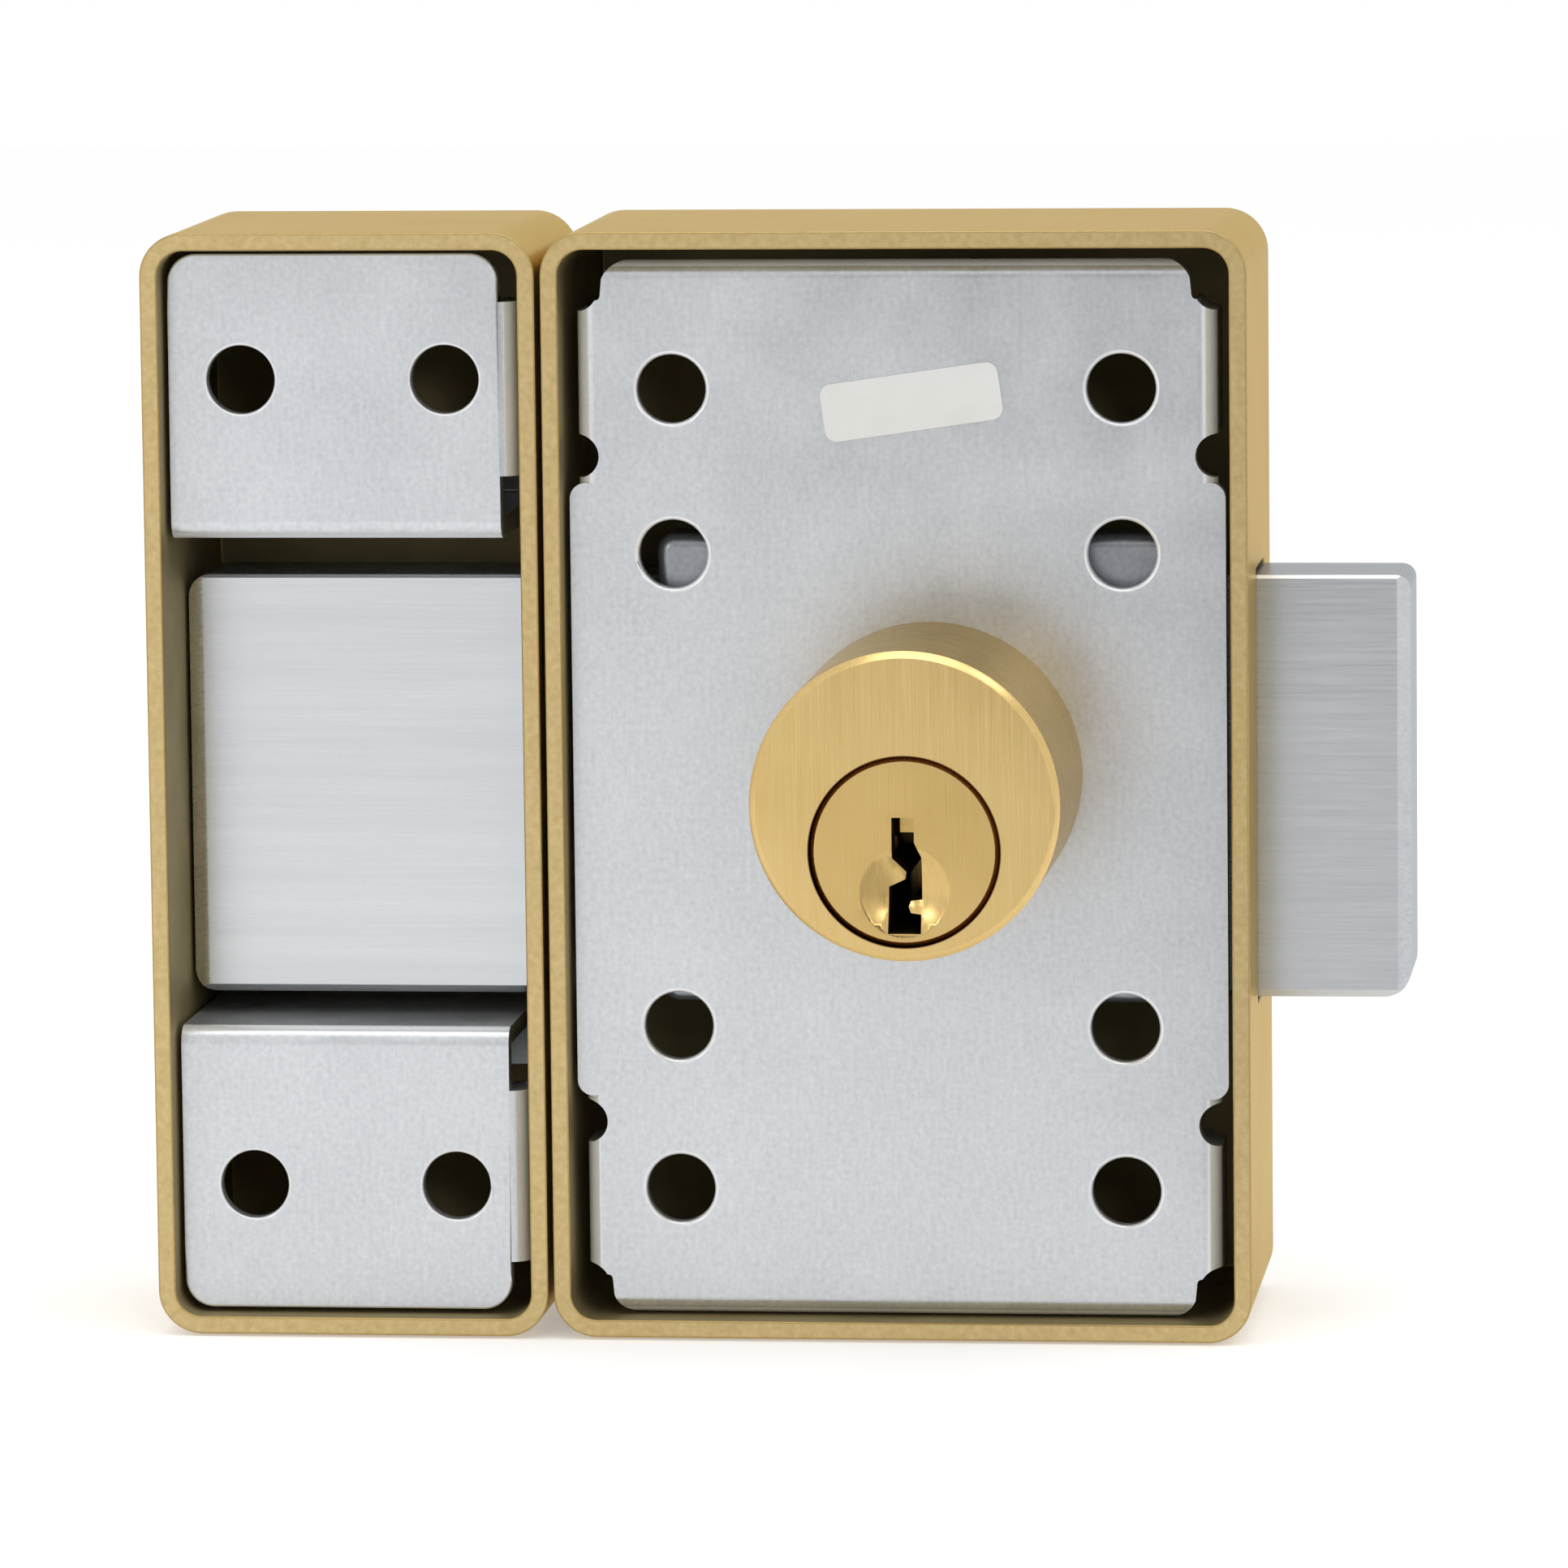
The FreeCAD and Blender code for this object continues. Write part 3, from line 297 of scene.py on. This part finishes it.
def grainyMetal(look):
    material, tree, shader = startMaterial(look["name"], 1.0, look["rough"])
    place = addNode(tree, "ShaderNodeTexCoord").outputs["Object"]
    grain = addNode(tree, "ShaderNodeTexNoise", {"Scale": 1 / (look["grain"] * mm), "Detail": 3.0},
                    {"Vector": place})
    relief = addNode(tree, "ShaderNodeBump", {"Strength": grainRelief["strength"],
                                              "Distance": grainRelief["depth"] * mm},
                     {"Height": grain.outputs["Fac"]})
    tree.links.new(mixTones(tree, look, grain.outputs["Fac"]), shader.inputs["Base Color"])
    tree.links.new(relief.outputs[0], shader.inputs["Normal"])
    return material


finishes = {"zinc_plate": zincPlatedSteel(zincLook), "bolt_steel": groundSteelBar(boltLook),
            "cover_brass": brushedBrass(satinLook), "cylinder_brass": brushedBrass(turnedLook),
            "plug_brass": brushedBrass(plugLook), "label_white": blotched(labelLook)}
for slotName, partLook in smallParts.items():
    finishes[slotName] = grainyMetal(partLook)
rimBrass = grainyMetal(rimLook)
rimEdgeBrass = grainyMetal(rimEdgeLook)
insideBrass = blotched(insideLook)
keywayShadeBrass = blotched(keywayShadeLook)
edgeHighlightZinc = zincPlatedSteel(edgeHighlightLook)
trayShadeZinc = zincPlatedSteel(trayShadeLook)
print("materials made for", len(finishes), "slots, and six for edges, insides and the tray")

# The CAD solids have sharp edges. Each piece below is rebuilt from its solid's own faces, joined
# into flat panels, with every real edge rounded as the tool or the tumbling drum left it. The width
# of the rounding is "edge". "full" keeps it everywhere, even where a rim is thin. "chosen" leaves
# out the edges that meet one shorter than "shortEdge".
slotOf = {e["node"]: e["material_slot"] for e in frame["record"]["subparts"]}
bodyOf = {node: body for body, members in frame["record"]["behaviour"]["bodies"].items()
          for node in members}
softEdges = {
    "case_cover": {"name": "caseHood", "edge": 0.15, "segments": 3, "rounding": "full"},
    "keeper_cover": {"name": "keeperHood", "edge": 0.15, "segments": 3, "rounding": "full"},
    "back_plate": {"name": "backPlate", "edge": 0.3, "segments": 3, "rounding": "chosen",
                   "shortEdge": 0.34},
    "plate_label": {"name": "plateLabel", "edge": 0.05, "segments": 1},
    "mechanism_tray": {"name": "pressedTray", "edge": 0.15, "segments": 2},
    "bolt_guide": {"name": "boltGuide", "edge": 0.15, "segments": 2},
    "bolt": {"name": "boltBar", "edge": 0.22, "segments": 3},
    "keeper_upper_channel": {"name": "keeperUpperFoot", "edge": 0.2, "segments": 3,
                             "rounding": "chosen", "shortEdge": 0.22},
    "keeper_lower_channel": {"name": "keeperLowerFoot", "edge": 0.2, "segments": 3,
                             "rounding": "chosen", "shortEdge": 0.22},
    "outer_cylinder_body": {"name": "outerCylinder", "edge": 0.08, "segments": 2},
    "inner_cylinder_body": {"name": "innerCylinder", "edge": 0.08, "segments": 2},
    "outer_plug": {"name": "outerPlug", "edge": 0.12, "segments": 2},
    "inner_plug": {"name": "innerPlug", "edge": 0.12, "segments": 2},
    "inner_ring_nut": {"name": "clampRing", "edge": 0.3, "segments": 3},
    "cover_screws": {"name": "caseScrews", "edge": 0.15, "segments": 2},
    "keeper_cover_screws": {"name": "keeperScrews", "edge": 0.15, "segments": 2}}
mergeDistance = 0.001
# Faces that turn less than the first angle are one flat panel, edges sharper than the second are real
flatPanelAngle = math.radians(0.5)
sharpAngle = math.radians(28)


# The edges to round on a notched piece. Beside a very short edge a wide rounding would fold over
# itself, so those few stay sharp.
def markEdges(panels, shortEdge):
    weight = panels.edges.layers.float.new("bevel_weight_edge")
    for edge in panels.edges:
        if len(edge.link_faces) == 2 and edge.calc_face_angle() > sharpAngle:
            shortest = min(e.calc_length() for corner in edge.verts for e in corner.link_edges)
            hasRoom = shortest > shortEdge * mm
            edge[weight] = float(hasRoom)
            edge.smooth = hasRoom


def softened(node, look):
    mesh = cadNodes[node].data.copy()
    mesh.name = look["name"]
    panels = bmesh.new()
    panels.from_mesh(mesh)
    bmesh.ops.remove_doubles(panels, verts=panels.verts, dist=mergeDistance * mm)
    bmesh.ops.dissolve_limit(panels, angle_limit=flatPanelAngle, verts=panels.verts, edges=panels.edges)
    for face in panels.faces:
        face.smooth = True
    isChosen = look.get("rounding") == "chosen"
    if isChosen:
        markEdges(panels, look["shortEdge"])
    panels.to_mesh(mesh)
    panels.free()
    mesh.materials.clear()
    mesh.materials.append(finishes[slotOf[node]])
    piece = bpy.data.objects.new(look["name"], mesh)
    bpy.context.scene.collection.objects.link(piece)
    rounding = piece.modifiers.new("roundedEdges", "BEVEL")
    rounding.width = look["edge"] * mm
    rounding.segments = look["segments"]
    rounding.limit_method = "WEIGHT" if isChosen else "ANGLE"
    rounding.angle_limit = sharpAngle
    rounding.use_clamp_overlap = "rounding" not in look
    even = piece.modifiers.new("evenNormals", "WEIGHTED_NORMAL")
    even.mode = "FACE_AREA"
    even.keep_sharp = True
    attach(piece, bodyOf[node])
    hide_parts(node)
    return piece


pieces = {node: softened(node, look) for node, look in softEdges.items()}
for node, solid in cadNodes.items():
    if node not in softEdges:
        solid.data.materials.clear()
        solid.data.materials.append(finishes[slotOf[node]])
print("pieces made:", len(pieces))

# The plate's corners end in a wide curve that reaches almost to the bent flanges. Only the corner
# beside each notch moves, in the plane of the plate.
plateCorner = {"edge": 21.2, "floor": 37.2, "round": 1.2, "wideEdge": 22.35, "wideRound": 2.2,
               "reach": 1.6, "top": 40.2, "floorSlack": 0.01, "edgeSlack": 0.05}


def cornerLine(edge, rounding, top, z):
    rise = max(0.0, z - (top - rounding))
    return edge - rounding + math.sqrt(max(0.0, rounding ** 2 - rise ** 2))


def widenCorners(plate, c):
    for vertex in plate.data.vertices:
        x = abs(vertex.co.x) / mm
        z = abs(vertex.co.z) / mm
        line = cornerLine(c["edge"], c["round"], c["top"], z)
        if z > c["floor"] - c["floorSlack"] and line - c["reach"] < x < line + c["edgeSlack"]:
            shift = cornerLine(c["wideEdge"], c["wideRound"], c["top"], z) - line
            share = (x - line + c["reach"]) / c["reach"]
            vertex.co.x += math.copysign(shift * share * mm, vertex.co.x)


widenCorners(pieces["back_plate"], plateCorner)


def addFinish(piece, finish):
    piece.data.materials.append(finish)
    return len(piece.data.materials) - 1


# Each hood has three finishes: satin outside, cut rim towards the door, browned inside. A rim face
# looks at the door and lies within the band beside it.
rimFace = {"facing": -0.9, "band": 0.1}


def finishHood(node):
    hood = pieces[node]
    low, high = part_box(node)
    middle = (low + high) / 2
    rim = addFinish(hood, rimBrass)
    inside = addFinish(hood, insideBrass)
    for face in hood.data.polygons:
        if face.normal.y < rimFace["facing"] and face.center.y < low.y + rimFace["band"] * mm:
            face.material_index = rim
        elif (middle - face.center).dot(face.normal) > 0:
            face.material_index = inside


finishHood("case_cover")
finishHood("keeper_cover")


# The rounded edges get a material of their own: a darker brown on the hood rims, a painted highlight on
# the plate and the feet
def finishEdges(node, edgeFinish):
    piece = pieces[node]
    edges = addFinish(piece, edgeFinish)
    piece.modifiers["roundedEdges"].material = edges
    return edges


# The bends of the plate and the feet, whose faces look partly at the door, get the painted highlight
# too. It covers only the outer part of a bend at an end, and a bend at a side almost up to the flat.
highlightBendFacing = {"least": 0.2, "endMost": 0.75, "sideMost": 0.97}


def paintBendHighlights(node, highlightFinish):
    for face in pieces[node].data.polygons:
        isEndBend = abs(face.normal.z) > abs(face.normal.x)
        most = highlightBendFacing["endMost"] if isEndBend else highlightBendFacing["sideMost"]
        if highlightBendFacing["least"] < abs(face.normal.y) < most:
            face.material_index = highlightFinish


for coverNode in ("case_cover", "keeper_cover"):
    finishEdges(coverNode, rimEdgeBrass)
# The plate and the feet get the painted highlight on their rounded edges and bends
for plateNode in ("back_plate", "keeper_upper_channel", "keeper_lower_channel"):
    paintBendHighlights(plateNode, finishEdges(plateNode, edgeHighlightZinc))
# The tray gets the darker zinc, a painted shade
pieces["mechanism_tray"].data.materials[0] = trayShadeZinc

# Inside the plug, every wall nearer the axis than this is keyway and gets the near-black painted shade.
# A wall looks less along the axis than the limit.
keywayWall = {"reach": 6.4, "facing": 0.5}


def paintKeywayShade(node):
    plug = pieces[node]
    keyway = addFinish(plug, keywayShadeBrass)
    axisX = plugJoint["centre"][0] * mm
    axisZ = plugJoint["centre"][2] * mm
    for face in plug.data.polygons:
        fromAxis = math.hypot(face.center.x - axisX, face.center.z - axisZ)
        if fromAxis < keywayWall["reach"] * mm and abs(face.normal.y) < keywayWall["facing"]:
            face.material_index = keyway


paintKeywayShade("outer_plug")
paintKeywayShade("inner_plug")
print("rims, bends and keyways finished")

# Camera at the photograph's place: its distance and lens give the photo's framing. The focal length
# is in pixels of a frame that is framePixels wide.
camera = {"azimuth": 6.64, "elevation": 7.19, "roll": -0.65, "distance": 734.3,
          "target": (-8.51, -2.1, 0.81), "focalPixels": 12000, "framePixels": 1932, "sensor": 36.0,
          "near": 10, "far": 20000}


def placeCamera(c):
    az, el, roll = (math.radians(c[k]) for k in ("azimuth", "elevation", "roll"))
    forward = Vector((-math.sin(az) * math.cos(el), math.cos(az) * math.cos(el), -math.sin(el)))
    right = Vector((math.cos(az), math.sin(az), 0))
    up = right.cross(forward)
    tiltedRight = right * math.cos(roll) + up * math.sin(roll)
    tiltedUp = up * math.cos(roll) - right * math.sin(roll)
    data = bpy.data.cameras.new("camera")
    data.sensor_width = c["sensor"]
    data.lens = c["sensor"] * c["focalPixels"] / c["framePixels"]
    data.clip_start = c["near"] * mm
    data.clip_end = c["far"] * mm
    cam = bpy.data.objects.new("camera", data)
    bpy.context.scene.collection.objects.link(cam)
    place = (Vector(c["target"]) - forward * c["distance"]) * mm
    turn = Matrix((tiltedRight, tiltedUp, -forward)).transposed().to_4x4()
    cam.matrix_world = Matrix.Translation(place) @ turn
    bpy.context.scene.camera = cam


placeCamera(camera)
print("camera placed")

# The studio: a white room, a pale floor and soft lamps that all point at the lock. Only the metal
# mirrors the three cards. The dark one hangs behind the camera, so that the faces turn darker to the
# right. The pale one lies on the floor before the lock and the grey one beyond it, so that the
# faces show a soft grey that deepens towards the top. Lamp powers are in watts.
studio = {"floorSize": 3000, "floorDrop": 0.2, "floorColour": "#f4f4f4", "floorGlow": 0.3,
          "roomLight": 0.75, "feltRoughness": 0.9}
cards = {
    "frontCard": {"grey": "#444448", "corners": [(-95, -760, -42), (190, -760, -42),
                                                 (190, -760, 380), (-110, -760, 380)]},
    "floorCard": {"grey": "#e1e1e3", "corners": [(18, -40, -41), (420, -40, -41), (420, -750, -41),
                                                 (-30, -750, -41)]},
    "farCard": {"grey": "#707074", "corners": [(-42, -500, -40.5), (300, -500, -40.5),
                                               (300, -755, -40.5), (-75, -755, -40.5)]}}
lamps = {"topLamp": {"place": (0, -150, 700), "size": 500, "power": 1.2},
         "edgeLamp": {"place": (380, -110, 600), "size": 200, "power": 0.35},
         "rightLamp": {"place": (186, -700, 178), "size": 90, "power": 0.2},
         "leftLamp": {"place": (-379, -700, 183), "size": 90, "power": 0.25}}
white = (1, 1, 1, 1)


# Gives one where the camera sees the white straight, in metal or through glass, else zero, so that
# the white background doesn't flood the lock with light
def seenDirectly(tree):
    path = addNode(tree, "ShaderNodeLightPath")
    direct = addNode(tree, "ShaderNodeMath", {"operation": "MAXIMUM"},
                     {0: path.outputs["Is Camera Ray"], 1: path.outputs["Is Glossy Ray"]})
    seen = addNode(tree, "ShaderNodeMath", {"operation": "MAXIMUM"},
                   {0: direct.outputs[0], 1: path.outputs["Is Transmission Ray"]})
    return seen.outputs[0]


def buildFloor(s):
    low = cadBounds[0][2]
    bpy.ops.mesh.primitive_plane_add(size=s["floorSize"] * mm,
                                     location=(0, 0, low - s["floorDrop"] * mm))
    floor = bpy.context.object
    floor.name = "floor"
    material = bpy.data.materials.new("paleFloor")
    material.use_nodes = True
    tree = material.node_tree
    tree.nodes.clear()
    diffuse = addNode(tree, "ShaderNodeBsdfDiffuse", {"Color": linearColour(s["floorColour"])})
    glow = addNode(tree, "ShaderNodeEmission", {"Color": white, "Strength": s["floorGlow"]})
    both = addNode(tree, "ShaderNodeAddShader", {}, {0: diffuse.outputs[0], 1: glow.outputs[0]})
    mix = addNode(tree, "ShaderNodeMixShader", {},
                  {0: seenDirectly(tree), 1: diffuse.outputs[0], 2: both.outputs[0]})
    addNode(tree, "ShaderNodeOutputMaterial", {}, {0: mix.outputs[0]})
    floor.data.materials.append(material)


def hangCards(cardList, roughness):
    for name, c in cardList.items():
        felt, tree, shader = startMaterial(name + "Felt", 0.0, roughness)
        shader.inputs["Base Color"].default_value = linearColour(c["grey"])
        mesh = bpy.data.meshes.new(name)
        mesh.from_pydata([[v * mm for v in corner] for corner in c["corners"]], [], [(0, 1, 2, 3)])
        mesh.materials.append(felt)
        card = bpy.data.objects.new(name, mesh)
        bpy.context.scene.collection.objects.link(card)
        card.visible_camera = False
        card.visible_shadow = False
        card.visible_diffuse = False


def buildRoom(s):
    world = bpy.data.worlds.new("whiteRoom")
    bpy.context.scene.world = world
    world.use_nodes = True
    tree = world.node_tree
    tree.nodes.clear()
    bright = addNode(tree, "ShaderNodeBackground", {"Color": white, "Strength": 1.0})
    soft = addNode(tree, "ShaderNodeBackground", {"Color": white, "Strength": s["roomLight"]})
    mix = addNode(tree, "ShaderNodeMixShader", {},
                  {0: seenDirectly(tree), 1: soft.outputs[0], 2: bright.outputs[0]})
    addNode(tree, "ShaderNodeOutputWorld", {}, {0: mix.outputs[0]})


def hangLamps(lampList):
    for name, lamp in lampList.items():
        data = bpy.data.lights.new(name, "AREA")
        data.shape = "SQUARE"
        data.size = lamp["size"] * mm
        data.energy = lamp["power"]
        lampObject = bpy.data.objects.new(name, data)
        bpy.context.scene.collection.objects.link(lampObject)
        place = Vector(lamp["place"]) * mm
        toLock = Vector((0, 0, 0)) - place
        lampObject.location = place
        lampObject.rotation_euler = toLock.to_track_quat("-Z", "Y").to_euler()


buildFloor(studio)
hangCards(cards, studio["feltRoughness"])
buildRoom(studio)
hangLamps(lamps)
bpy.context.scene.view_settings.view_transform = "Standard"
print("studio built")
